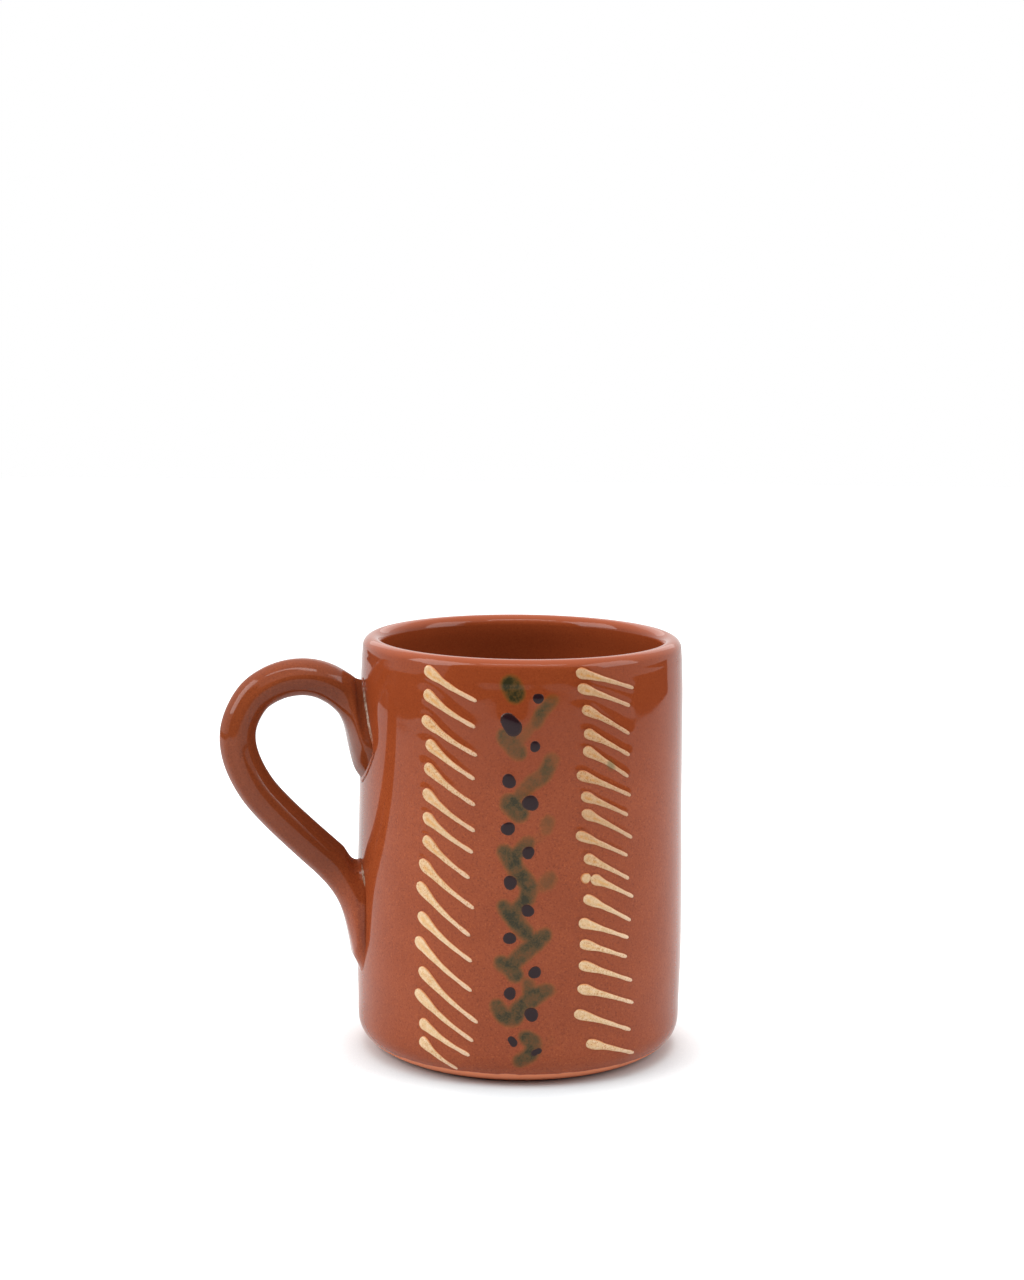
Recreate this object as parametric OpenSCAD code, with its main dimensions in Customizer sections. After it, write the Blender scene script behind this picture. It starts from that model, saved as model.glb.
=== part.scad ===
// A thrown clay mug with a pulled handle and trailed slip strokes.
// The origin is the middle of the foot, +Z is up and the handle points along -X.

/* [Body] */
// Height from the table to the top of the lip
mug_height = 108; // [90:1:130]
// Widest outer radius of the wall, low on the body
belly_radius = 42.6; // [38:0.1:52]
// Radius of the foot where it stands on the table
foot_radius = 34.8; // [30:0.1:37]
// Height over which the foot rounds out into the wall
edge_height = 12; // [8:0.5:18]
// Thickness of the thrown wall
wall = 4.6; // [3.4:0.1:6.5]
// Thickness of the rounded lip
lip_thickness = 5.2; // [4:0.1:7]
// Depth over which the lip thins into the wall inside
lip_depth = 11; // [6:0.5:20]
// Thickness of the floor
floor_thickness = 5; // [3:0.5:9]
// Radius of the corner between the floor and the wall inside
inner_corner = 9; // [4:0.5:14]
// Width of the ring that the mug stands on
foot_ring = 5.6; // [3:0.1:10]
// Depth of the turned recess inside the foot ring
recess_depth = 1.4; // [0.6:0.1:3]
// Width of the sloping edge of that recess
recess_slope = 1.2; // [0.4:0.1:3]

/* [Handle] */
// How far the handle's middle line stands out from the wall
handle_reach = 31.9; // [26:0.1:42]
// Depth of the highest point of that line below the lip
handle_drop = 9.2; // [6:0.1:16]
// Height above the table at which that line comes back to the wall
handle_root = 43; // [38:0.5:52]
// Thickness of the pulled handle, from the fingers outward
handle_thickness = 9.6; // [7:0.1:12]
// Width of the pulled handle, across the fingers
handle_width = 10.6; // [8:0.1:14]
// Height of the pressed upper end on the wall
upper_pad_height = 26.2; // [20:0.1:30]
// Full width of the pressed upper end on the wall
upper_pad_width = 20.6; // [15:0.1:26]
// Height of the upper end above the middle line of the handle
upper_pad_rise = 7.2; // [4:0.1:9]
// Height of the wiped lower end on the wall
lower_pad_height = 35.4; // [28:0.1:36]
// Full width of the wiped lower end on the wall
lower_pad_width = 14.2; // [10:0.1:20]
// Height of the lower end above the middle line of the handle
lower_pad_rise = 7.4; // [5:0.1:10]

/* [Joint slip] */
// Thickness of the slip that glues a handle end to the wall
slip_thickness = 0.5; // [0.3:0.05:1]
// How far the squeezed slip shows round a handle end
slip_bead = 0.7; // [0.3:0.05:1.5]

/* [Slip strokes] */
// Length along the wall from the heads to the tails of a column
stroke_run = 13.5; // [10:0.1:17]
// Width of a stroke at its head
stroke_head = 3.2; // [2.2:0.1:4]
// Height of a stroke's head above the wall
stroke_height = 0.6; // [0.3:0.05:1]
// Heads of the left column, from the line of dots
left_column = 25; // [20:0.5:30]
// Heads of the right column, from the line of dots
right_column = 16.5; // [12:0.5:22]
// Turn of the line of dots from the mug's side toward the handle
pattern_turn = 13; // [0:1:20]

/* [Dots and brush marks] */
// Radius of a common dark dot
dot_radius = 1.6; // [1:0.05:2.2]
// Height of a dark dot above the brush marks
dot_height = 0.35; // [0.2:0.05:0.8]
// How far the dots and marks sway from their middle line
sway = 5; // [4:0.1:7]
// Width of a common green brush mark
mark_width = 3.2; // [2:0.1:4]
// Thickness of the green glaze in a brush mark
mark_height = 0.1; // [0.06:0.01:0.2]

/* [Hidden] */
// Clearance between a piece and the clay that carries it
seat = 0.06;
// Counts of rings and of points on a ring
edge_steps = 8;
side_steps = 18;
lip_steps = 10;
corner_steps = 6;
ring_points = 28;
pad_steps = 7;
steps_per_span = 3;
dot_points = 12;
// Heights between the edge and the lip, against radii of the belly
side_shares = [
    [0, 0.991], [0.14, 1], [0.35, 0.998], [0.57, 0.988], [0.78, 0.983], [0.91, 0.979], [1, 0.968]
];
// Power of the curve that rounds the foot into the wall
edge_power = 4.2;
// The handle's middle line: reach from the wall, against height from the lower root to the top
path_shares = [
    [0, 0.848], [0.175, 0.935], [0.34, 0.986], [0.516, 1], [0.7, 0.978], [0.866, 0.918], [0.972, 0.817],
    [1, 0.717], [0.956, 0.607], [0.844, 0.487], [0.687, 0.38], [0.49, 0.267], [0.269, 0.147], [0, 0]
];
// Where the free part of the handle starts and ends, in points of that line
free_start = 1;
free_end = len(path_shares) - 2;
// Thickness along the free part of the handle
thickness_shares = [[0, 1], [0.2, 1.01], [0.45, 0.97], [0.7, 1.02], [1, 1.05]];
// Half outlines of the two ends, from the top down: depth of the pad, against half its width
upper_pad_shares = [
    [0, 0], [0.1, 0.21], [0.26, 0.45], [0.42, 0.71], [0.56, 0.93],
    [0.66, 1], [0.77, 0.8], [0.9, 0.47], [1, 0]
];
lower_pad_shares = [
    [0, 0], [0.04, 0.41], [0.12, 0.73], [0.24, 0.93], [0.36, 1],
    [0.53, 1], [0.71, 0.9], [0.9, 0.59], [1, 0]
];
// Depth of each pad's own middle
upper_middle_share = 0.56;
lower_middle_share = 0.45;
// How steeply each end leaves the wall, and how far it slides along it, from its crease to its wiped tip
upper_lift_shares = [[0, 1], [0.25, 0.9], [0.5, 0.8], [0.75, 0.7], [1, 0.6]];
upper_slide_shares = [[0, 0.1], [0.25, 0.2], [0.5, 0.5], [0.75, 1], [1, 1.3]];
lower_lift_shares = [[0, 1], [0.25, 0.8], [0.5, 0.5], [0.75, 0.12], [1, 0.03]];
lower_slide_shares = [[0, 0.1], [0.25, 0.25], [0.5, 0.6], [0.75, 1.1], [1, 1.25]];
// Sizes of the nested outlines that fill a pad
fill_shares = [0.34, 0.68];
// Rounded edge of the squeezed slip: width against thickness
slip_edge_shares = [[1, 0], [0.8, 0.7], [0.3, 1]];
// Cross-section of a trailed bead: half widths against heights
bead_section_shares = [[-1, 0], [-0.68, 0.72], [0, 1], [0.68, 0.72], [1, 0]];
// Along a stroke from its head: length, width and height
stroke_form_shares = [
    [0.012, 0.45, 0.45], [0.045, 0.82, 0.8], [0.1, 1, 1], [0.19, 0.9, 0.95], [0.33, 0.65, 0.8],
    [0.55, 0.53, 0.68], [0.78, 0.48, 0.6], [0.94, 0.5, 0.6], [0.985, 0.32, 0.4]
];
// Rings of a dome: radius against height
dome_shares = [[1, 0], [0.94, 0.45], [0.62, 0.85]];
// The same as for a stroke, along a brush mark
mark_form_shares = [
    [0.03, 0.5, 0.6], [0.12, 0.88, 1], [0.24, 1, 1], [0.36, 1, 1], [0.5, 1, 1],
    [0.64, 1, 1], [0.77, 0.95, 1], [0.89, 0.85, 1], [0.97, 0.5, 0.6]
];
// Width of the right column's heads
right_head_share = 0.88;
// How far a stroke of each column sags below a straight line between its ends
left_bow_share = 0.025;
right_bow_share = -0.008;
// Strokes from the top: side and height of the head, side and height of the tail
left_shares = [
    [0.015, 0.965, 1.02, 0.905], [0.02, 0.91, 1, 0.845], [-0.01, 0.85, 1.04, 0.78],
    [0.09, 0.795, 1, 0.725], [0.06, 0.74, 1.015, 0.665], [0.03, 0.68, 1.015, 0.605],
    [0.04, 0.625, 0.985, 0.555], [0.045, 0.57, 0.925, 0.495], [-0.03, 0.515, 1.02, 0.425],
    [-0.08, 0.46, 0.95, 0.36], [-0.04, 0.39, 0.99, 0.3], [-0.1, 0.33, 0.99, 0.23],
    [-0.01, 0.26, 1.11, 0.155], [-0.1, 0.205, 1.02, 0.11], [0, 0.135, 0.95, 0.075],
    [0, 0.09, 0.67, 0.035]
];
right_shares = [
    [-0.1, 0.97, 1.075, 0.925], [-0.07, 0.935, 0.98, 0.885], [0.015, 0.885, 0.97, 0.82],
    [0.06, 0.83, 0.98, 0.77], [0.045, 0.79, 0.955, 0.72], [-0.075, 0.735, 1.02, 0.675],
    [0.015, 0.685, 0.955, 0.63], [0.03, 0.645, 1.065, 0.575], [-0.08, 0.595, 0.95, 0.535],
    [0.08, 0.54, 0.985, 0.48], [0.22, 0.49, 1.095, 0.435], [0.075, 0.445, 1.035, 0.38],
    [-0.01, 0.39, 0.985, 0.34], [0.015, 0.34, 0.95, 0.295], [0, 0.29, 1.095, 0.235],
    [-0.02, 0.235, 1.15, 0.18], [-0.075, 0.175, 1.105, 0.115], [0.185, 0.1, 1.235, 0.055]
];
// Dark dots from the top: side, height, radius
dot_shares = [
    [0.84, 0.915, 0.8], [-0.5, 0.855, 1.6], [0.7, 0.805, 0.8], [-0.58, 0.725, 1.06], [0.5, 0.675, 1.2],
    [-0.6, 0.615, 1.03], [0.42, 0.56, 0.94], [-0.46, 0.49, 1.03], [0.42, 0.425, 0.94], [-0.46, 0.36, 0.94],
    [0.8, 0.28, 0.94], [-0.42, 0.23, 0.94], [0.66, 0.18, 1.06], [-0.26, 0.115, 0.75], [0.94, 0.09, 0.65]
];
// Green marks from the top: width, then sides and heights along the mark
mark_shares = [
    [1.2, [-0.62, 0.949], [-0.45, 0.936], [-0.27, 0.921]],
    [0.7, [1.66, 0.913], [1.12, 0.889], [0.68, 0.853]],
    [1.1, [-0.88, 0.831], [-0.46, 0.81], [-0.06, 0.787]],
    [0.88, [1.46, 0.769], [1.16, 0.739], [0.52, 0.719], [-0.1, 0.689]],
    [1.2, [-0.62, 0.678], [-0.3, 0.662], [0.04, 0.647]],
    [0.8, [1.4, 0.634], [1.36, 0.624], [1.32, 0.615]],
    [1, [-0.88, 0.567], [-0.44, 0.543], [-0.04, 0.511], [0.44, 0.484], [0.36, 0.442]],
    [0.8, [0.44, 0.585], [0.16, 0.571], [-0.12, 0.557]],
    [0.75, [1.58, 0.506], [1.34, 0.495], [1.1, 0.484]],
    [1, [-0.84, 0.436], [-0.34, 0.413], [0.1, 0.385], [0.44, 0.366]],
    [1, [1.36, 0.371], [0.86, 0.35], [0.12, 0.32], [-0.38, 0.294]],
    [1, [-1.16, 0.207], [-0.8, 0.183], [-0.38, 0.168], [0.04, 0.192], [0.54, 0.211], [1.12, 0.231],
        [1.6, 0.239]],
    [0.9, [0.28, 0.129], [0.78, 0.11], [0.64, 0.085], [-0.04, 0.064]]
];
// A round drop of slip that fell beside the right column: side, height, radius
drop_shares = [0.04, 0.495, 0.9];
// How far the second face, trailed by the same hand, wanders from the first
stroke_wander_shares = [0.06, 0.005, 0.08, 0.007];
dot_wander_shares = [0.12, 0.005, 0.12];
mark_wander_shares = [0.15, 0.004];
// Turn of the wave that gives the wander, in degrees a step
wander_step = 137;

// Smooth curve through the rows of a table, each a place and the value there
function slope_at(rows, i) =
    let (before = max(i - 1, 0), after = min(i + 1, len(rows) - 1))
    (rows[after][1] - rows[before][1]) / (rows[after][0] - rows[before][0]);
function span_of(rows, at, i = 0) =
    (i >= len(rows) - 2 || at <= rows[i + 1][0]) ? i : span_of(rows, at, i + 1);
function hermite(start, finish, leaving, arriving, u) =
    start * (2 * u * u * u - 3 * u * u + 1) + leaving * (u * u * u - 2 * u * u + u)
    + finish * (3 * u * u - 2 * u * u * u) + arriving * (u * u * u - u * u);
function curve(rows, at) =
    let (i = span_of(rows, at), run = rows[i + 1][0] - rows[i][0], u = (at - rows[i][0]) / run)
    hermite(rows[i][1], rows[i + 1][1], slope_at(rows, i) * run, slope_at(rows, i + 1) * run, u);
function numbered(points) = [for (i = [0:len(points) - 1]) [i, points[i]]];
function unit(v) = v / norm(v);
function smooth_step(u) = u * u * (3 - 2 * u);

// The wall's outside, as rows of height and radius
lip_level = mug_height - lip_thickness / 2;
edge_radius = belly_radius * side_shares[0][1];
edge_rows = [
    for (i = [0:edge_steps - 1])
    let (u = pow(i / edge_steps, 2))
    [edge_height * u, foot_radius + (edge_radius - foot_radius) * (1 - pow(1 - u, edge_power))]
];
side_rows = [
    for (i = [0:side_steps])
    let (u = i / side_steps)
    [edge_height + (lip_level - edge_height) * u, belly_radius * curve(side_shares, u)]
];
wall_rows = concat(edge_rows, side_rows);
function wall_radius(z) = lookup(z, wall_rows);

// A point at a distance round the wall from a bearing, at a height, and this far off the clay
function on_wall(bearing, side, z, off) =
    let (angle = bearing + side / belly_radius * 180 / PI, r = wall_radius(z) + off)
    [r * cos(angle), r * sin(angle), z];

// The wall's inside, from the lip down to the floor
lip_middle = wall_radius(lip_level) - lip_thickness / 2;
floor_level = recess_depth + floor_thickness;
corner_level = floor_level + inner_corner;
function lip_blend(z) = smooth_step(min(1, max(0, (z - lip_level + lip_depth) / lip_depth)));
function inner_radius(z) = wall_radius(z) - wall - (lip_thickness - wall) * lip_blend(z);
corner_middle = inner_radius(corner_level) - inner_corner;
inner_rows = [for (i = [side_steps:-1:0]) if (side_rows[i][0] > corner_level) side_rows[i][0]];
ring_inside = foot_radius - foot_ring;
body_outline = concat(
    [[0, recess_depth], [ring_inside - recess_slope, recess_depth], [ring_inside, 0]],
    [for (row = wall_rows) [row[1], row[0]]],
    [
        for (i = [1:lip_steps - 1])
        let (angle = 180 * i / lip_steps)
        [lip_middle + lip_thickness / 2 * cos(angle), lip_level + lip_thickness / 2 * sin(angle)]
    ],
    [for (z = inner_rows) [inner_radius(z), z]],
    [
        for (i = [0:corner_steps])
        let (angle = -90 * i / corner_steps)
        [corner_middle + inner_corner * cos(angle), corner_level + inner_corner * sin(angle)]
    ],
    [[0, floor_level]]
);

// The handle's middle line, and rings square to it
handle_bearing = 180;
handle_top = mug_height - handle_drop;
path_base = wall_radius((handle_top + handle_root) / 2);
path_rows = numbered([
    for (p = path_shares)
    [path_base + handle_reach * p[0], handle_root + (handle_top - handle_root) * p[1]]
]);
path_nudge = 0.02;
function path_heading(t) = unit(curve(path_rows, t + path_nudge) - curve(path_rows, t - path_nudge));
function ring_angle(j) = 360 * j / ring_points;
function free_ring(t) =
    let (
        middle = curve(path_rows, t),
        heading = path_heading(t),
        thick = curve(thickness_shares, (t - free_start) / (free_end - free_start)),
        half_in = handle_thickness / 2 * thick,
        half_across = handle_width / 2 * thick
    )
    [
        for (j = [0:ring_points - 1])
        let (across = half_across * sin(ring_angle(j)), outward = half_in * cos(ring_angle(j)))
        [-middle[0] + heading[1] * outward, -across, middle[1] + heading[0] * outward]
    ];

// Half a turn of an outline: 0 at the top of the pad, 1 at its lowest point, on either side
function pad_turn(pad, j) =
    let (half = abs(ring_angle(j) > 180 ? ring_angle(j) - 360 : ring_angle(j)) / 180)
    pad[starts_at_top] ? half : 1 - half;
function pad_side(j) = ring_angle(j) > 180 ? -1 : 1;
function pad_point(pad, j, scale_share, outset, off) =
    let (
        outline = numbered(pad[outline_of]),
        place = curve(outline, pad_turn(pad, j) * (len(outline) - 1)),
        middle = [0, pad_middle(pad)],
        rim = [pad_side(j) * pad[width_of] / 2 * place[1], pad[top_of] - pad[height_of] * place[0]],
        spot = middle + (rim - middle) * scale_share + unit(rim - middle) * outset
    )
    on_wall(handle_bearing, spot[0], spot[1], off);
function pad_middle(pad) = pad[top_of] - pad[height_of] * pad[middle_of];

// The two pads, and the places of their fields: the rings start at the top of the upper one
outline_of = 0;
top_of = 1;
height_of = 2;
width_of = 3;
middle_of = 4;
starts_at_top = 5;
lift_of = 6;
slide_of = 7;
upper_root = handle_root + (handle_top - handle_root) * path_shares[0][1];
upper_pad = [
    upper_pad_shares, upper_root + upper_pad_rise, upper_pad_height, upper_pad_width,
    upper_middle_share, true, upper_lift_shares, upper_slide_shares
];
lower_pad = [
    lower_pad_shares, handle_root + lower_pad_rise, lower_pad_height, lower_pad_width,
    lower_middle_share, false, lower_lift_shares, lower_slide_shares
];
function pad_ring(pad, scale_share, outset, off) = [
    for (j = [0:ring_points - 1])
    pad_point(pad, j, scale_share, outset, off)
];
function pad_centre(pad, off) = on_wall(handle_bearing, 0, pad_middle(pad), off);

// Rings that carry the free handle down onto a pad, each point along its own curve
function wall_out(p) = unit([p[0], p[1], 0]);
function blend_point(foot, free, heading, lift, slide, u) =
    let (
        reach = norm(free - foot),
        out = wall_out(foot),
        chord = free - foot,
        along = unit(chord - out * (chord * out)),
        leaving = (out * lift + along * slide) * reach
    )
    hermite(foot, free, leaving, heading * reach, u);
function blend_ring(pad, t, direction, u) =
    let (
        feet = pad_ring(pad, 1, 0, slip_thickness + 2 * seat),
        free = free_ring(t),
        flat = path_heading(t) * direction,
        heading = [-flat[0], 0, flat[1]]
    )
    [
        for (j = [0:ring_points - 1])
        let (turn = pad_turn(pad, j))
        blend_point(feet[j], free[j], heading, curve(pad[lift_of], turn), curve(pad[slide_of], turn), u)
    ];

// Points and faces of a closed skin: a tip, rings of equal count and a last tip
function skin_points(first, rings, last) = concat([first], [for (ring = rings) each ring], [last]);
function skin_faces(rings, n) = concat(
    [for (j = [0:n - 1]) [0, 1 + (j + 1) % n, 1 + j]],
    [
        for (k = [0:rings - 2], j = [0:n - 1])
        let (here = 1 + k * n, next = here + n, after = (j + 1) % n)
        each [[here + j, here + after, next + after], [here + j, next + after, next + j]]
    ],
    [for (j = [0:n - 1]) [1 + rings * n, 1 + (rings - 1) * n + j, 1 + (rings - 1) * n + (j + 1) % n]]
);
function moved_faces(faces, by) = [for (face = faces) [for (i = face) i + by]];
function turned_faces(faces) = [for (face = faces) [for (i = [len(face) - 1:-1:0]) face[i]]];
function joined_faces(faces, points, copies) =
    [for (k = [0:copies - 1]) each moved_faces(faces, k * points)];

// A trailed bead that lies on the wall along a line of sides and heights
bead_points = len(bead_section_shares);
function bead_ring(line, u, bearing, broad, high, off) =
    let (
        rows = numbered(line),
        last = len(line) - 1,
        middle = curve(rows, u * last),
        ahead = unit(curve(rows, (u + path_nudge) * last) - curve(rows, (u - path_nudge) * last)),
        square = [-ahead[1], ahead[0]]
    )
    [
        for (s = bead_section_shares)
        let (spot = middle + square * s[0] * broad / 2)
        on_wall(bearing, spot[0], spot[1], off + s[1] * high)
    ];
function bead(line, bearing, form, broad, high, off) =
    skin_points(
        on_wall(bearing, line[0][0], line[0][1], off),
        [for (f = form) bead_ring(line, f[0], bearing, broad * f[1], high * f[2], off)],
        on_wall(bearing, line[len(line) - 1][0], line[len(line) - 1][1], off)
    );

// A low dome on the wall
function dome(bearing, side, z, radius, high, off) =
    skin_points(
        on_wall(bearing, side, z, off),
        [
            for (ring = dome_shares)
            [
                for (j = [0:dot_points - 1])
                let (angle = -360 * j / dot_points, reach = radius * ring[0])
                on_wall(bearing, side + reach * cos(angle), z + reach * sin(angle), off + high * ring[1])
            ]
        ],
        on_wall(bearing, side, z, off + high)
    );

// Where the pattern lies on each face; the second face is the first with the hand's wander in it
front_bearing = 270 - pattern_turn;
back_bearing = 90 + pattern_turn;
strokes_off = seat;
dots_off = mark_height + 2 * seat;
function wandered(row, shares, i, face) =
    [for (c = [0:len(row) - 1]) row[c] + face * shares[c] * sin(wander_step * (i * len(row) + c))];

function stroke_line(row, column, broad, bow_share) =
    let (
        head = [column + stroke_run * row[0], mug_height * row[1]],
        tail = [column + stroke_run * row[2], mug_height * row[3]],
        heading = unit(tail - head),
        start = head - heading * broad / 2,
        sag = [0, -norm(tail - start) * bow_share]
    )
    [start, (start + tail) / 2 + sag, tail];
function stroke_column(shares, column, broad, bow_share, bearing, face) = [
    for (i = [0:len(shares) - 1])
    each bead(
        stroke_line(wandered(shares[i], stroke_wander_shares, i, face), column, broad, bow_share),
        bearing, stroke_form_shares, broad, stroke_height, strokes_off
    )
];
stroke_points = len(stroke_form_shares) * bead_points + 2;
stroke_faces = skin_faces(len(stroke_form_shares), bead_points);

module left_strokes(bearing, face) {
    color("#e8cfa4")
    polyhedron(
        stroke_column(left_shares, -left_column, stroke_head, left_bow_share, bearing, face),
        joined_faces(stroke_faces, stroke_points, len(left_shares))
    );
}

// The right column, with the drop beside it on the first face
module right_strokes(bearing, face) {
    drop = dome(
        bearing, right_column + stroke_run * drop_shares[0], mug_height * drop_shares[1],
        dot_radius * drop_shares[2], stroke_height, strokes_off
    );
    drops = face == 0 ? 1 : 0;
    broad = stroke_head * right_head_share;
    strokes = stroke_column(right_shares, right_column, broad, right_bow_share, bearing, face);
    color("#e8cfa4")
    polyhedron(
        concat(strokes, drops == 1 ? drop : []),
        concat(
            joined_faces(stroke_faces, stroke_points, len(right_shares)),
            drops == 1 ? moved_faces(dome_faces, len(right_shares) * stroke_points) : []
        )
    );
}

dome_points = len(dome_shares) * dot_points + 2;
dome_faces = skin_faces(len(dome_shares), dot_points);
module dots(bearing, face) {
    color("#33292e")
    polyhedron(
        [
            for (i = [0:len(dot_shares) - 1])
            let (row = wandered(dot_shares[i], dot_wander_shares, i, face), radius = dot_radius * row[2])
            each dome(bearing, sway * row[0], mug_height * row[1], radius, dot_height, dots_off)
        ],
        joined_faces(dome_faces, dome_points, len(dot_shares))
    );
}

mark_points = len(mark_form_shares) * bead_points + 2;
mark_faces = skin_faces(len(mark_form_shares), bead_points);
function mark_line(row, i, face) = [
    for (c = [1:len(row) - 1])
    let (spot = wandered(row[c], mark_wander_shares, i, face))
    [sway * spot[0], mug_height * spot[1]]
];
module brush_marks(bearing, face) {
    color("#4b4a33")
    polyhedron(
        [
            for (i = [0:len(mark_shares) - 1])
            each bead(
                mark_line(mark_shares[i], i, face), bearing, mark_form_shares,
                mark_width * mark_shares[i][0], mark_height, seat
            )
        ],
        joined_faces(mark_faces, mark_points, len(mark_shares))
    );
}

module body() {
    color("#a2522f")
    rotate_extrude($fn = 96)
    polygon(body_outline);
}

module handle() {
    spans = (free_end - free_start) * steps_per_span;
    cap_off = slip_thickness + 2 * seat;
    rings = concat(
        [for (s = fill_shares) pad_ring(upper_pad, s, 0, cap_off)],
        [for (i = [0:pad_steps - 1]) blend_ring(upper_pad, free_start, 1, i / pad_steps)],
        [for (k = [0:spans]) free_ring(free_start + k / steps_per_span)],
        [for (i = [pad_steps - 1:-1:0]) blend_ring(lower_pad, free_end, -1, i / pad_steps)],
        [for (i = [len(fill_shares) - 1:-1:0]) pad_ring(lower_pad, fill_shares[i], 0, cap_off)]
    );
    color("#9c4c28")
    polyhedron(
        skin_points(pad_centre(upper_pad, cap_off), rings, pad_centre(lower_pad, cap_off)),
        skin_faces(len(rings), ring_points)
    );
}

// The slip that glues a handle end: a thin lens under it, with a rounded edge squeezed out all round
module joint_slip(pad) {
    rings = concat(
        [for (s = fill_shares) pad_ring(pad, s, 0, seat)],
        [
            for (edge = slip_edge_shares)
            pad_ring(pad, 1, slip_bead * edge[0], seat + slip_thickness * edge[1])
        ],
        [for (i = [len(fill_shares) - 1:-1:0]) pad_ring(pad, fill_shares[i], 0, seat + slip_thickness)]
    );
    faces = skin_faces(len(rings), ring_points);
    color("#b08d78")
    polyhedron(
        skin_points(pad_centre(pad, seat), rings, pad_centre(pad, seat + slip_thickness)),
        pad[starts_at_top] ? faces : turned_faces(faces)
    );
}

body();
handle();
joint_slip(upper_pad);  // upper_joint_slip
joint_slip(lower_pad);  // lower_joint_slip
left_strokes(front_bearing, 0);  // front_left_strokes
right_strokes(front_bearing, 0);  // front_right_strokes
dots(front_bearing, 0);  // front_dots
brush_marks(front_bearing, 0);  // front_brush_marks
left_strokes(back_bearing, 1);  // back_left_strokes
right_strokes(back_bearing, 1);  // back_right_strokes
dots(back_bearing, 1);  // back_dots
brush_marks(back_bearing, 1);  // back_brush_marks
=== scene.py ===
"""A glazed clay mug with a pulled handle and a trailed slip pattern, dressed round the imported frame."""

import math

import bpy
import numpy as np
from mathutils import Matrix, Vector


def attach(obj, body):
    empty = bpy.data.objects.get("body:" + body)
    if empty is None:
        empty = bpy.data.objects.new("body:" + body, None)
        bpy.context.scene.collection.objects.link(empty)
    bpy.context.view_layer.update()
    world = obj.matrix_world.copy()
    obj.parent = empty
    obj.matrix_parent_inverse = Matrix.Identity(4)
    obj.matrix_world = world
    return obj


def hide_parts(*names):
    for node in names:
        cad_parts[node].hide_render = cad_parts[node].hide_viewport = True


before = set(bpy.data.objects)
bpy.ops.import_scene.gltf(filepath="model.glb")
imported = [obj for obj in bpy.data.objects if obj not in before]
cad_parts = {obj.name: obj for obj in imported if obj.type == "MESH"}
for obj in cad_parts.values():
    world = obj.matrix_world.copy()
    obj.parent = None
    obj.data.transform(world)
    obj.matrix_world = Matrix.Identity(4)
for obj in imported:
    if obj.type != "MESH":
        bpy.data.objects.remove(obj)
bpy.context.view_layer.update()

# Units, and how near to each other heights, lines and points are taken as one
MM = 0.001
HAIR = 0.01 * MM
STRAIGHT = 0.0002 * MM
WELD_DIGITS = 7
FULL_TURN = 2 * math.pi

# The two painted faces: the bearing of each line of dots, and how far the pattern reaches beside it and up
FRONT_BEARING = math.radians(257)
BACK_BEARING = math.radians(103)
PATTERN_LEFT, PATTERN_RIGHT = -30 * MM, 35 * MM
PATTERN_TOP = 105 * MM

# Spacing of the body's mesh, fine where glaze and stain are painted on it
FINE_STEP = 0.52 * MM
COARSE_STEP = 2.2 * MM
LIP_STEP = 0.45 * MM
INSIDE_STEP = 2.4 * MM
LIP_INSIDE = 4 * MM

# Hand work that the CAD leaves out: throwing rings and a waver that fade toward the foot and the lip, a
# groove under the lip, turning marks underneath and on the floor, and soft edges at the foot
THROWING_PITCH = 5.4 * MM
THROWING_DEPTH = 0.005 * MM
WALL_WAVER = 0.008 * MM
DRIFT_HEIGHT = 9 * MM
WAVER_HEIGHT = 30 * MM
FOOT_FADE = 4 * MM
LIP_FADE = 6 * MM
NECK_BELOW_LIP = 3.9 * MM
NECK_DEPTH = 0.045 * MM
NECK_WIDTH = 0.7 * MM
UNDER_STEP = 1.1 * MM
UNDER_PITCH = 5.2 * MM
UNDER_DEPTH = 0.16 * MM
FLOOR_PITCH = 7.5 * MM
FLOOR_DEPTH = 0.35 * MM
FOOT_BEVEL = 0.35 * MM
BEVEL_SHARE = 0.45
BEVEL_STEPS = 3

# How deep slip is sunk in the wall that it lies on: at its edge, under its middle, and at each joint
SUNK = 0.12 * MM
UNDER_SUNK = 1.5 * SUNK
JOINT_SUNK = {"upper_joint_slip": 0.38 * MM, "lower_joint_slip": 0.8 * MM}
# Where the slip at each joint shows pale, from and to a height, and how deep it is sunk there
PALE_SLIP = {"upper_joint_slip": (82.5 * MM, 96.5 * MM), "lower_joint_slip": (43.5 * MM, 51 * MM)}
PALE_FADE = 3 * MM
PALE_SUNK = 0.15 * MM
# Where the handle's ends meet the wall: how far off it the seam starts, and how deep it goes
SEAM_REACH = 1.5 * MM
SEAM_DEPTH = 0.35 * MM
# The handle's lower end is wiped on: from and to a height it gets a steeper edge and stands out more
WIPED_FROM, WIPED_TO = 30 * MM, 42 * MM
WIPED_REACH = 0.6 * MM
WIPED_LIFT = 0.7 * MM
# Ridges along the strap: their height, each as (share, times round, drift, start), and over what shares
# of its length they fade in and out
RIDGE_HEIGHT = 0.14 * MM
RIDGES = ((0.6, 5, 1, 0), (0.4, 9, 2, 1))
RIDGES_IN = (0.16, 0.34)
RIDGES_OUT = (0.74, 0.92)
# Points round the handle and its slip, and rings for each of the CAD's
HANDLE_ROUND = 96
HANDLE_ALONG = 4
SLIP_ALONG = 3

# Trailed slip: counts of points, how much a bead swells, its height as a share of the CAD's, how much its
# tail thins and from where, and the power that rounds its crest
BEAD_ROUND = 12
BEAD_ROWS = 36
BEAD_SWELL = 0.06
BEAD_FLATNESS = 0.35
TAIL_THINNER = 0.32
TAIL_FROM = 0.2
CREST_POWER = 0.5
LINE_ROWS = 40
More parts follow.
